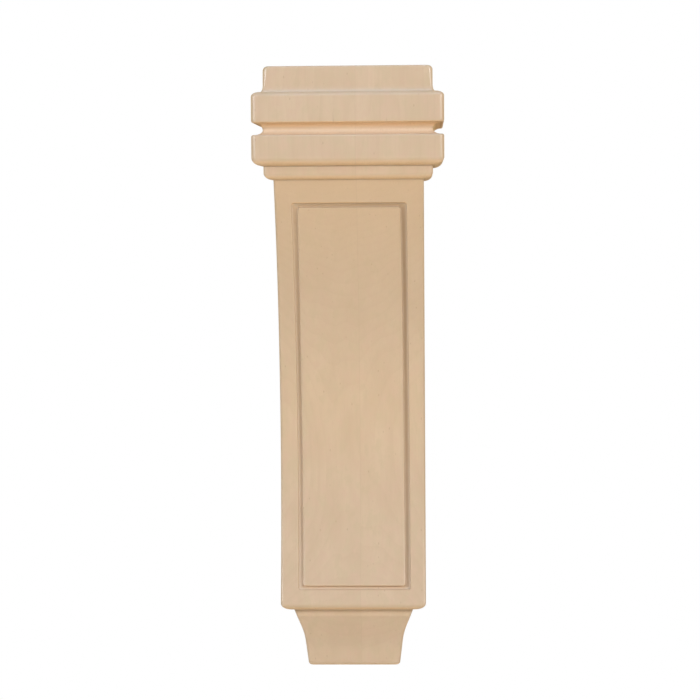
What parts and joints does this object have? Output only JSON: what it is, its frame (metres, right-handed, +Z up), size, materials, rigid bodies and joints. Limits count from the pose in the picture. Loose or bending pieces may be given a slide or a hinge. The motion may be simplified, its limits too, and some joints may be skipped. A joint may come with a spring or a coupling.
{
  "type": "wooden corbel",
  "caption": "Tall wooden corbel with a banded, fluted crown, a concave panelled shaft and a coved foot, fixed to a wall to carry a shelf, counter or mantel.",
  "frame": {"origin": "centre of the flat back, on the wall", "axes": "+Z up along the height, +Y out of the back into the wall, -Y out of the front, X across the width"},
  "size_m": [0.178, 0.203, 0.576],
  "materials": {
    "maple": "fine-sanded raw maple, upright grain, satin"
  },
  "bodies": {
    "root": {"corbel": "maple"}
  },
  "joints": []
}
